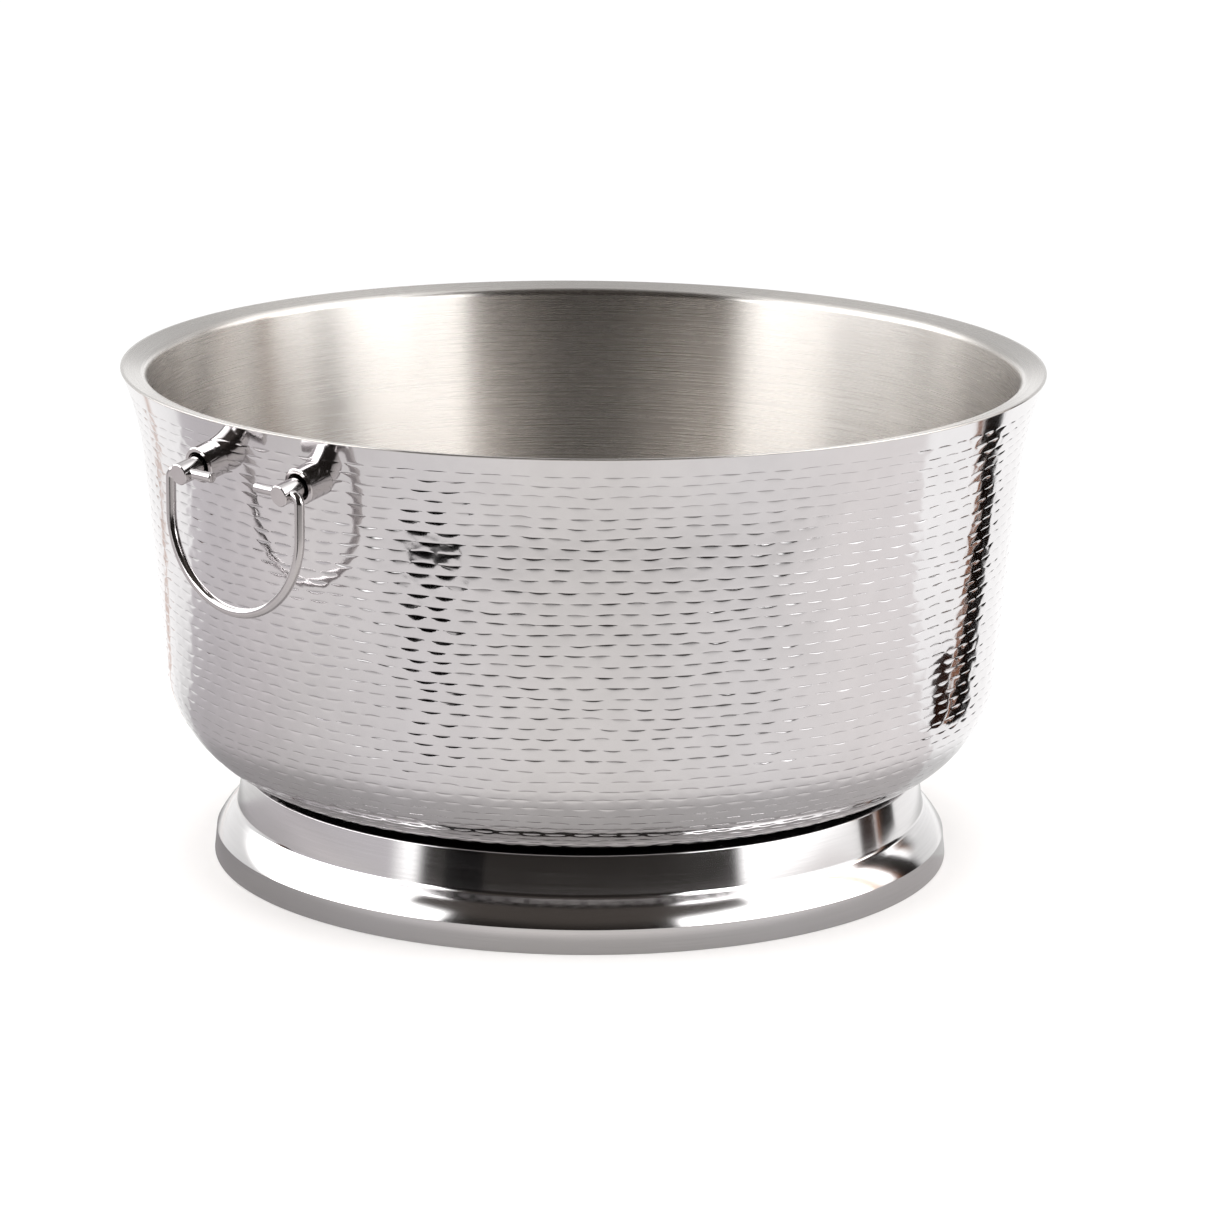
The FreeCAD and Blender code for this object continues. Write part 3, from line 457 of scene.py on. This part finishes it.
    # the lines slide a little, mark by mark and in slow waves
    windowU = calc("POWER", calc("COSINE", calc("MULTIPLY", fromMiddle, math.pi)), 2.0)
    windowV = calc("POWER", calc("SINE", calc("MULTIPLY", calc("SUBTRACT", row, rowIndex), math.pi)), 2.0)
    lean = calc("MULTIPLY", calc("MULTIPLY", tilt, fromMiddle), 0.5)
    own = calc("MULTIPLY", calc("ADD", slideV, lean), calc("MULTIPLY", windowU, windowV))
    ring = put("ShaderNodeCombineXYZ", calc("COSINE", angle), calc("SINE", angle),
               calc("MULTIPLY", along, 14.0))
    waves = put("ShaderNodeTexNoise", ring.outputs[0], None, 3.2, 2.0, 0.5).outputs["Fac"]
    slow = calc("MULTIPLY", calc("SUBTRACT", waves, 0.5), calc("MULTIPLY", given["Wander"], 4.0))
    slid = calc("MULTIPLY", calc("MULTIPLY_ADD", own, given["Jitter"], slow), inRows)
    here = put("GeometryNodeSampleCurve", mode="LENGTH", use_all_curves=True)
    tree.links.new(profile, here.inputs["Curves"])
    tree.links.new(put("ShaderNodeClamp", calc("ADD", along, slid), 0.0, length).outputs[0],
                   here.inputs["Length"])
    at = put("ShaderNodeSeparateXYZ", here.outputs["Position"])
    heading = put("ShaderNodeSeparateXYZ", here.outputs["Tangent"])

    # the sheet is never quite true between the marks
    spot = put("ShaderNodeCombineXYZ", calc("MULTIPLY", calc("COSINE", angle), at.outputs[0]),
               calc("MULTIPLY", calc("SINE", angle), at.outputs[0]), at.outputs[2]).outputs[0]
    broad = put("ShaderNodeTexNoise", spot, None, 34.0, 2.0, 0.45).outputs["Fac"]
    small = put("ShaderNodeTexNoise", spot, None, 120.0, 1.0, 0.5).outputs["Fac"]
    rise = calc("MULTIPLY_ADD", calc("SUBTRACT", small, 0.5), 0.6, calc("SUBTRACT", broad, 0.5))
    rise = calc("MULTIPLY", calc("MULTIPLY", rise, given["Uneven"]), inRows)
    pillow = calc("MULTIPLY", calc("MULTIPLY", windowU, windowV), calc("MULTIPLY", strength, given["Pillow"]))
    out = calc("SUBTRACT", calc("SUBTRACT", rise, dent), pillow)
    radius = calc("MULTIPLY_ADD", calc("MULTIPLY", heading.outputs[2], -1.0), out, at.outputs[0])
    height = calc("MULTIPLY_ADD", heading.outputs[0], out, at.outputs[2])
    place = put("ShaderNodeCombineXYZ", calc("MULTIPLY", calc("COSINE", angle), radius),
                calc("MULTIPLY", calc("SINE", angle), radius), height)
    bent = put("GeometryNodeSetPosition", grid.outputs["Mesh"], None, place.outputs[0])
    kept = bent.outputs[0]
    for label, value in (("column", column), ("line", line), ("crease", creaseShade)):
        store = put("GeometryNodeStoreNamedAttribute", kept, data_type="FLOAT", domain="POINT")
        store.inputs["Name"].default_value = label
        tree.links.new(value, store.inputs["Value"])
        kept = store.outputs[0]
    real = put("GeometryNodeRealizeInstances", kept)
    painted = put("GeometryNodeSetMaterial", real.outputs[0], None, given["Finish"])
    put("NodeGroupOutput", painted.outputs[0])
    return tree, sockets


def hammeredGrid():
    # runs the tree and returns the grid's points, and how far each is in a crease as painted crease shade, by
    # column and line
    profile = profileCurve("shellProfile",
                           shellLine + [(baseRadius - hammer["plainStrip"], bowl["footHeight"])])
    hammered = sum(math.dist(a, b) for a, b in zip(shellLine, shellLine[1:])) - hammer["plainBand"]
    rows = int(hammered / hammer["rowPitch"])
    pitch = hammered / rows
    columns = hammer["marksRound"] * hammer["columnsPerMark"]
    lines = hammer["bandLines"] + rows * hammer["linesPerRow"] + 4
    lines += -lines % lineStep
    nominal = 2 * math.pi * shellLine[0][0] / hammer["marksRound"]
    sizes = {
        "Row Pitch": pitch * mm, "Half Length": hammer["markLength"] / 2 / nominal,
        "Band Lines": hammer["bandLines"], "Lines Per Row": hammer["linesPerRow"],
        "Crowding": hammer["crowding"],
    }
    for key in ("markHeight", "creaseHeight", "creaseWidth", "depth", "plainBand", "plainStrip",
                "wander", "jitter", "uneven", "pillow"):
        label = "".join(" " + c if c.isupper() else c for c in key).title()
        sizes[label] = hammer[key] * mm
    tree, sockets = hammerTree(sizes)
    sizes.update({"Profile": profile, "Marks Round": hammer["marksRound"], "Rows": rows,
                  "Columns": columns, "Lines": lines, "Finish": hammeredFinish})
    holder = meshObject("hammerGrid", [], [], hammeredFinish)
    modifier = holder.modifiers.new("Hammered", "NODES")
    modifier.node_group = tree
    for label, value in sizes.items():
        kind = tree.interface.items_tree[label].socket_type
        modifier[sockets[label]] = float(value) if kind == "NodeSocketFloat" else value
    graph = bpy.context.evaluated_depsgraph_get()
    mesh = bpy.data.meshes.new_from_object(holder.evaluated_get(graph))
    count = len(mesh.vertices)
    points = np.empty(count * 3)
    mesh.vertices.foreach_get("co", points)
    read = {label: np.empty(count) for label in ("column", "line", "crease")}
    for label, values in read.items():
        mesh.attributes[label].data.foreach_get("value", values)
    column, line = read["column"].round().astype(int), read["line"].round().astype(int)
    placed = np.zeros((columns + 1, lines + 1, 4))
    placed[column, line] = np.column_stack([points.reshape(-1, 3), read["crease"]])
    bpy.data.meshes.remove(mesh)
    for spent in (holder, profile):
        bpy.data.objects.remove(spent)
    return placed[:columns, :, :3], placed[:columns, :, 3]


def gridNormals(points):
    downward = np.gradient(points, axis=1)
    onward = np.roll(points, -1, axis=0) - np.roll(points, 1, axis=0)
    normals = np.cross(downward, onward)
    return normals / np.linalg.norm(normals, axis=2, keepdims=True)


def shellSector(name, first, last, points, creases, normals, lining):
    # closed piece of sheet: dented outside, plain lining of every few points, and its four edges
    columns = [c % len(points) for c in range(first, last + 1)]
    lines = points.shape[1]
    outer = points[columns].reshape(-1, 3)
    inner = lining[columns][::columnStep, ::lineStep]
    insideNormals = -normals[columns][::columnStep, ::lineStep].reshape(-1, 3)
    wide, deep = inner.shape[:2]
    start = len(outer)

    def out(c, l):
        return c * lines + l

    def lined(c, l):
        return start + c * deep + l

    faces = [(out(c, l), out(c, l + 1), out(c + 1, l + 1), out(c + 1, l))
             for c in range(len(columns) - 1) for l in range(lines - 1)]
    faces += [(lined(c, l), lined(c + 1, l), lined(c + 1, l + 1), lined(c, l + 1))
              for c in range(wide - 1) for l in range(deep - 1)]
    end = len(columns) - 1
    for l in range(deep - 1):
        span = list(range(l * lineStep, (l + 1) * lineStep + 1))
        faces.append([out(0, i) for i in span[::-1]] + [lined(0, l), lined(0, l + 1)])
        faces.append([out(end, i) for i in span] + [lined(wide - 1, l + 1), lined(wide - 1, l)])
    for c in range(wide - 1):
        span = list(range(c * columnStep, (c + 1) * columnStep + 1))
        faces.append([out(i, 0) for i in span] + [lined(c + 1, 0), lined(c, 0)])
        faces.append([out(i, lines - 1) for i in span[::-1]] + [lined(c, deep - 1), lined(c + 1, deep - 1)])
    made = meshObject(name, np.vstack([outer, inner.reshape(-1, 3)]), faces, hammeredFinish)
    made.data.shade_smooth()
    smooth = np.vstack([normals[columns].reshape(-1, 3), insideNormals])
    made.data.normals_split_custom_set_from_vertices(smooth.tolist())
    # the painted crease shade goes with the sheet as a point attribute
    crease = made.data.attributes.new("crease", "FLOAT", "POINT")
    crease.data.foreach_set("value", np.append(creases[columns].ravel(), np.zeros(len(insideNormals))))
    return made


lineStep, columnStep = 8, hammer["columnsPerMark"]
shellGrid, shellCreaseShade = hammeredGrid()
shellNormals = gridNormals(shellGrid)
shellLining = shellGrid - shellNormals * bowl["gauge"] * mm
step = len(shellGrid) // hammer["sectors"]
for k in range(hammer["sectors"]):
    sector = shellSector(f"hammeredShell{k + 1}", k * step, (k + 1) * step, shellGrid, shellCreaseShade,
                         shellNormals, shellLining)
    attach(sector, "bucket")
    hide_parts("outer_shell")
baseEdge = float(np.hypot(*shellGrid[0, -1, :2])) / mm
low, high = bowl["footHeight"], bowl["footHeight"] + bowl["gauge"]
shellBase = turned("shellBase", [(0, low), (baseEdge * 0.5, low), (baseEdge, low),
                                 (baseEdge, high), (baseEdge * 0.5, high), (0, high)], 256, hammeredFinish)
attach(shellBase, "bucket")
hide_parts("outer_shell")
print("hammered shell made:", len(shellGrid), "columns,", shellGrid.shape[1], "lines")


bail = {  # mm
    "rod": 2.5, "bow": 43.7, "leg": 19.5, "bend": 4.0, "spacing": 68.0, "stud": 5.3, "tip": 14.0,
    "sides": 32, "endRound": 0.6,
}


def bailPath():
    # the rod's centre line as (across, up) in mm, from one tip to the other
    tip = bail["spacing"] / 2 - bail["stud"] - bail["tip"]
    bow, bend, leg = bail["bow"], bail["bend"], bail["leg"]
    path = [(-tip, 0), (-tip - 8, 0), (bend - bow, 0)]
    path += arcPoints((bend - bow, -bend), bend, 90, 180, 12)[1:]
    path += arcPoints((0, -leg), bow, 180, 360, 120)
    path += arcPoints((bow - bend, -bend), bend, 0, 90, 12)
    path += [(tip + 8, 0), (tip, 0)]
    return path


def sweptRod(name, path, radius, centre, material):
    points = [Vector(p) for p in path]
    headings = []
    for before, here, after in zip(points[:1] + points, points, points[1:] + points[-1:]):
        into, onward = here - before, after - here
        headings.append((into.normalized() + onward.normalized()).normalized())
    soft = bail["endRound"]
    ends = [(soft * (1 - math.sin(a)), radius - soft * (1 - math.cos(a)))
            for a in np.radians((90, 60, 30, 0))]
    rings = [(points[0] + headings[0] * back, headings[0], size) for back, size in ends]
    rings += [(p, d, radius) for p, d in zip(points[1:-1], headings[1:-1])]
    rings += [(points[-1] - headings[-1] * back, headings[-1], size) for back, size in ends[::-1]]
    vertices, faces, sides = [], [], bail["sides"]
    for at, heading, size in rings:
        for k in range(sides):
            turn = 2 * math.pi * k / sides
            flat, deep = math.cos(turn) * size, math.sin(turn) * size
            vertices.append((centre[0] + deep * mm, centre[1] + (at.x - heading.y * flat) * mm,
                             centre[2] + (at.y + heading.x * flat) * mm))
    for i in range(len(rings) - 1):
        for k in range(sides):
            a, b = i * sides + k, i * sides + (k + 1) % sides
            faces.append((a, b, b + sides, a + sides))
    faces.append(list(range(sides))[::-1])
    faces.append([len(vertices) - sides + k for k in range(sides)])
    made = meshObject(name, vertices, faces, material)
    made.data.shade_smooth()
    made.data.set_sharp_from_angle(angle=math.radians(50))
    return made


for joint in frame["joints"]:
    side = joint["child"].split("_")[0]
    rod = sweptRod(side + "BailRod", bailPath(), bail["rod"], joint["pos_m"], rodFinish)
    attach(rod, joint["child"])
    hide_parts(joint["child"])
print("bails made")

for name, node in frame["nodes"].items():
    finish = fastenerFinish
    if name.endswith(("stud", "collar")) and not name.startswith("foot"):
        finish = rodFinish
    node.data.materials.clear()
    node.data.materials.append(finish)


# studio
view = {  # metres and degrees; turns are counted from the camera's side, to its right
    "cameraTurn": -138.0, "distance": 2.4456, "height": 0.7335, "pitch": 13.935, "yaw": 0.304,
    "roll": 0.542, "lens": 144.98,
}


def aroundCamera(turn, distance, height):
    # a place at an angle from the camera's side of the object
    a = math.radians(view["cameraTurn"] + turn)
    return Vector((distance * math.cos(a), distance * math.sin(a), height))


def makeCamera():
    data = bpy.data.cameras.new("camera")
    data.lens = view["lens"]
    data.sensor_width = 36.0
    data.clip_end = 50.0
    camera = bpy.data.objects.new("camera", data)
    bpy.context.scene.collection.objects.link(camera)
    turn = Matrix.Rotation(math.radians(view["cameraTurn"] + 90 - view["yaw"]), 4, "Z")
    tilt = Matrix.Rotation(math.radians(90 - view["pitch"]), 4, "X")
    roll = Matrix.Rotation(math.radians(view["roll"]), 4, "Z")
    place = Matrix.Translation(aroundCamera(0, view["distance"], view["height"]))
    camera.matrix_world = place @ turn @ tilt @ roll
    bpy.context.scene.camera = camera


def glowByTurn(put, turn, stops):
    # stops are (degrees from the camera's side, brightness, colour)
    ramp = put("ShaderNodeValToRGB", turn)
    elements = ramp.color_ramp.elements
    for degrees, _, _ in stops[2:]:
        elements.new((degrees + 180) / 360)
    for element, (degrees, brightness, code) in zip(elements, stops):
        element.position = (degrees + 180) / 360
        element.color = [c * brightness for c in linearColour(code)[:3]] + [1.0]
    return ramp.outputs[0]


def roundTheCentre(put):
    # where a point of the studio lies: its coordinates, its turn from 0 to 1 and its distance
    place = put("ShaderNodeTexCoord").outputs["Object"]
    part = put("ShaderNodeSeparateXYZ", place)
    angle = put("ShaderNodeMath", part.outputs[1], part.outputs[0], operation="ARCTAN2").outputs[0]
    turn = put("ShaderNodeMapRange", angle, -math.pi, math.pi, 0.0, 1.0).outputs[0]
    return part.outputs, turn, put("ShaderNodeVectorMath", place, operation="LENGTH").outputs["Value"]


def faceCamera(made):
    made.rotation_euler.z = math.radians(view["cameraTurn"])
    return made


def onlyReflected(made):
    made.visible_camera = made.visible_shadow = made.visible_diffuse = False


def dome(name, radius, material):
    # half a sphere over the object
    rows, count, vertices = 12, 96, []
    for i in range(rows):
        lift = math.radians(90 * i / rows)
        vertices += [(radius * math.cos(lift) * math.cos(2 * math.pi * k / count),
                      radius * math.cos(lift) * math.sin(2 * math.pi * k / count),
                      radius * math.sin(lift)) for k in range(count)]
    vertices.append((0, 0, radius))
    faces = []
    for i in range(rows):
        for k in range(count):
            a, b = i * count + k, i * count + (k + 1) % count
            faces.append((a, a + count, b + count, b) if i < rows - 1 else (a, len(vertices) - 1, b))
    onlyReflected(faceCamera(meshObject(name, vertices, faces, material)))


def card(name, turn, distance, low, high, width, code, facing=0.0):
    # an upright card on the floor or above it
    material, put = newMaterial(name)
    put("ShaderNodeOutputMaterial", put("ShaderNodeEmission", linearColour(code), 1.0).outputs[0])
    middle = aroundCamera(turn, distance, 0)
    a = math.radians(view["cameraTurn"] + turn + facing)
    along = Vector((-math.sin(a), math.cos(a), 0)) * width / 2
    left, right = middle - along, middle + along
    vertices = [(*left[:2], low), (*right[:2], low), (*right[:2], high), (*left[:2], high)]
    onlyReflected(meshObject(name, vertices, [(3, 2, 1, 0)], material))


def softbox(name, turn, distance, height, size, brightness, aim):
    # lights the floor and the shadows; brightness is the light's own radiance
    data = bpy.data.lights.new(name, "AREA")
    data.shape = "RECTANGLE"
    data.size, data.size_y = size
    data.energy = brightness * math.pi * size[0] * size[1]
    light = bpy.data.objects.new(name, data)
    bpy.context.scene.collection.objects.link(light)
    light.location = aroundCamera(turn, distance, height)
    light.rotation_mode = "QUATERNION"
    light.rotation_quaternion = (Vector((0, 0, aim)) - light.location).to_track_quat("-Z", "Y")
    light.visible_camera = light.visible_glossy = False


makeCamera()

# what the metal mirrors, low down, between and overhead: two big side lights with the dark room
# between them, and narrow dark gaps with warm edges
lowLights = [
    (-180, 1.5, "#ffffff"), (-160, 1.2, "#ffffff"), (-114, 0.8, "#ffffff"), (-111, 0.3, "#b07850"),
    (-107, 0.05, "#705040"), (-104, 0.75, "#f4f0f4"), (-62, 0.8, "#f4f0f4"), (-56, 1.8, "#ffffff"),
    (-53, 1.8, "#ffffff"), (-50, 0.03, "#e8dad0"), (50, 0.03, "#e8dad0"), (53, 2.0, "#ffffff"),
    (98, 1.6, "#ffffff"), (102, 0.1, "#705040"), (106, 1.0, "#ffffff"), (121, 0.5, "#c08050"),
    (124, 0.03, "#907060"), (129, 0.9, "#ffffff"), (160, 1.2, "#ffffff"), (180, 1.5, "#ffffff"),
]
midLights = [
    (-180, 0.7, "#ffffff"), (-150, 0.8, "#ffffff"), (-134, 2.0, "#ffffff"), (-122, 5.0, "#ffffff"),
    (-50, 5.4, "#ffffff"), (-45, 0.03, "#e8dad0"), (33, 0.03, "#e8dad0"), (37, 6.0, "#ffffff"),
    (99, 5.0, "#ffffff"), (102, 2.0, "#d8b090"), (105, 2.0, "#c8b0a0"), (109, 3.5, "#ffffff"),
    (128, 2.0, "#ffffff"), (131, 0.5, "#c08050"), (133, 0.03, "#907060"), (139, 1.2, "#ffffff"),
    (150, 0.8, "#ffffff"), (180, 0.7, "#ffffff"),
]
highLights = [
    (-180, 0.9, "#ffffff"), (-118, 1.2, "#ffffff"), (-104, 2.0, "#ffffff"), (0, 2.6, "#ffffff"),
    (98, 2.2, "#ffffff"), (180, 0.9, "#ffffff"),
]
domeSizes = {  # metres; heights where one list of lights gives way to the next, and the dark gap overhead
    "radius": 2.2, "lowToMid": (0.5, 0.7), "midToHigh": (1.4, 1.6),
    "gapRise": 0.3, "gapSlope": 0.784, "gapEdge": 0.05, "gapHeights": (0.3, 1.5), "gapLevels": (0.03, 0.1),
}
domeMaterial, put = newMaterial("studioLights")
(toCamera, toSide, upward), turn, _ = roundTheCentre(put)
lowGlow, midGlow, highGlow = [
    put("ShaderNodeEmission", glowByTurn(put, turn, lights), 1.0).outputs[0]
    for lights in (lowLights, midLights, highLights)]
lifted = put("ShaderNodeMapRange", upward, *domeSizes["lowToMid"]).outputs[0]
overhead = put("ShaderNodeMapRange", upward, *domeSizes["midToHigh"]).outputs[0]
around = put("ShaderNodeMixShader", lifted, lowGlow, midGlow).outputs[0]
# overhead, the dark part lies between two lines that open towards the camera
forward = put("ShaderNodeMath", upward, domeSizes["gapRise"], toCamera, operation="MULTIPLY_ADD").outputs[0]
sideways = put("ShaderNodeMath", toSide, operation="ABSOLUTE").outputs[0]
inGap = put("ShaderNodeMath", sideways, -domeSizes["gapSlope"], forward, operation="MULTIPLY_ADD").outputs[0]
gap = put("ShaderNodeMapRange", inGap, -domeSizes["gapEdge"], domeSizes["gapEdge"]).outputs[0]
gapLevel = put("ShaderNodeMapRange", upward, *domeSizes["gapHeights"], *domeSizes["gapLevels"]).outputs[0]
darkness = put("ShaderNodeEmission", linearColour("#e8dad0"), gapLevel).outputs[0]
above = put("ShaderNodeMixShader", gap, highGlow, darkness).outputs[0]
put("ShaderNodeOutputMaterial", put("ShaderNodeMixShader", overhead, around, above).outputs[0])
dome("studioLights", domeSizes["radius"], domeMaterial)

# the floor as the metal sees it: its tint with painted shade and a painted copper streak, and how much light
# it loses far off and close by, by turn
# painted shade and painted reflection: the floor is greyer at some turns and has a copper streak near -132
# degrees, seen only in the metal
floorShadeTints = [
    (-180, 1.1, "#ffffff"), (-134, 1.1, "#ffffff"), (-132, 0.8, "#c08058"), (-130, 1.1, "#ffffff"),
    (-112, 1.1, "#ffffff"), (-110.5, 1.0, "#c6c0c6"), (-98, 1.0, "#bdb7bc"), (-80, 1.0, "#d0c9cc"),
    (-64, 1.0, "#e2dddd"), (-36, 1.0, "#e4e0e1"), (-8, 1.0, "#dad6d3"), (8, 1.0, "#dad6d3"),
    (36, 1.0, "#e1dede"), (64, 1.0, "#e8e3e2"), (84, 1.0, "#ebe6e6"), (85.5, 1.1, "#ffffff"),
    (180, 1.1, "#ffffff"),
]
nearShades = [
    (-180, 0.0, "#ffffff"), (-130, 0.0, "#ffffff"), (-115, 0.4, "#ffffff"), (-60, 0.38, "#ffffff"),
    (-15, 0.0, "#ffffff"), (180, 0.0, "#ffffff"),
]
floorShades = [
    (-180, 0.3, "#ffffff"), (-75, 0.35, "#ffffff"), (-45, 1.0, "#ffffff"), (45, 1.0, "#ffffff"),
    (62, 0.0, "#ffffff"), (120, 0.0, "#ffffff"), (180, 0.3, "#ffffff"),
]
floorSizes = {  # metres from the middle of the object, and shares of the light
    "edge": 9.0, "farFade": (0.35, 1.5), "farLoss": 0.75, "nearFade": (0.38, 0.7),
    "footShade": (0.235, 0.28), "footLevel": 0.5, "glow": 0.8, "whiteFrom": (0.45, 1.1), "white": 1.05,
}
floorMaterial, put = newMaterial("paleFloor")
_, turn, distance = roundTheCentre(put)
far = put("ShaderNodeMapRange", distance, *floorSizes["farFade"], 0.0, floorSizes["farLoss"],
          interpolation_type="SMOOTHSTEP").outputs[0]
near = put("ShaderNodeMapRange", distance, *floorSizes["nearFade"], 1.0, 0.0).outputs[0]
level = put("ShaderNodeMapRange", distance, *floorSizes["footShade"], floorSizes["footLevel"], 1.0).outputs[0]
for shades, reach in ((floorShades, far), (nearShades, near)):
    loss = put("ShaderNodeMath", glowByTurn(put, turn, shades), reach, operation="MULTIPLY").outputs[0]
    kept = put("ShaderNodeMath", 1.0, loss, operation="SUBTRACT").outputs[0]
    level = put("ShaderNodeMath", level, kept, operation="MULTIPLY").outputs[0]
glow = put("ShaderNodeEmission", glowByTurn(put, turn, floorShadeTints), level).outputs[0]
chalk = put("ShaderNodeBsdfDiffuse", linearColour("#f4f3f2")).outputs[0]
mirrored = put("ShaderNodeMixShader", floorSizes["glow"], chalk, glow).outputs[0]
away = put("ShaderNodeMapRange", distance, *floorSizes["whiteFrom"], 0.0, 1.0,
           interpolation_type="SMOOTHSTEP").outputs[0]
white = put("ShaderNodeEmission", linearColour("#ffffff"), floorSizes["white"]).outputs[0]
seen = put("ShaderNodeMixShader", away, chalk, white).outputs[0]
rays = put("ShaderNodeLightPath").outputs
direct = put("ShaderNodeMixShader", rays["Is Camera Ray"], chalk, seen).outputs[0]
either = put("ShaderNodeMixShader", rays["Is Glossy Ray"], direct, mirrored)
put("ShaderNodeOutputMaterial", either.outputs[0])
edge = floorSizes["edge"]
corners = [(-edge, -edge, 0), (edge, -edge, 0), (edge, edge, 0), (-edge, edge, 0)]
faceCamera(meshObject("floor", corners, [(0, 1, 2, 3)], floorMaterial))

# name, turn, distance, height, size, brightness
softbox("leftBox", -75, 1.7, 1.05, (1.9, 2.0), 2.0, aim=1.05)
softbox("rightBox", 73, 1.7, 1.05, (1.8, 2.0), 2.0, aim=1.05)
softbox("topBox", 180, 0.25, 2.3, (2.4, 2.4), 3.6, aim=0.0)
softbox("frontBox", 0, 1.5, 2.4, (2.0, 1.2), 2.4, aim=0.0)
# name, turn, distance, foot, top, width, colour: dark flags that the wall mirrors
card("rightFlag", 97.5, 0.36, 0.0, 0.34, 0.065, "#120d0b", facing=-12)
card("rightFlagEdge", 92.5, 0.368, 0.0, 0.34, 0.016, "#8a5636", facing=-12)
card("rightFlagFoot", 87, 0.372, 0.0, 0.06, 0.05, "#2a1812")
card("frontFlag", -33, 0.69, 0.0, 0.26, 0.14, "#060505")

world = bpy.data.worlds.new("studio")
bpy.context.scene.world = world
world.use_nodes = True
world.node_tree.nodes.clear()
put = partial(addNode, world.node_tree)
direct = put("ShaderNodeLightPath").outputs["Is Camera Ray"]
room = put("ShaderNodeBackground", linearColour("#b4b0ae"), 1.0)
sky = put("ShaderNodeBackground", linearColour("#ffffff"), 1.0)
either = put("ShaderNodeMixShader", direct, room.outputs[0], sky.outputs[0])
put("ShaderNodeOutputWorld", either.outputs[0])
bpy.context.scene.view_settings.view_transform = "Standard"
print("studio made")
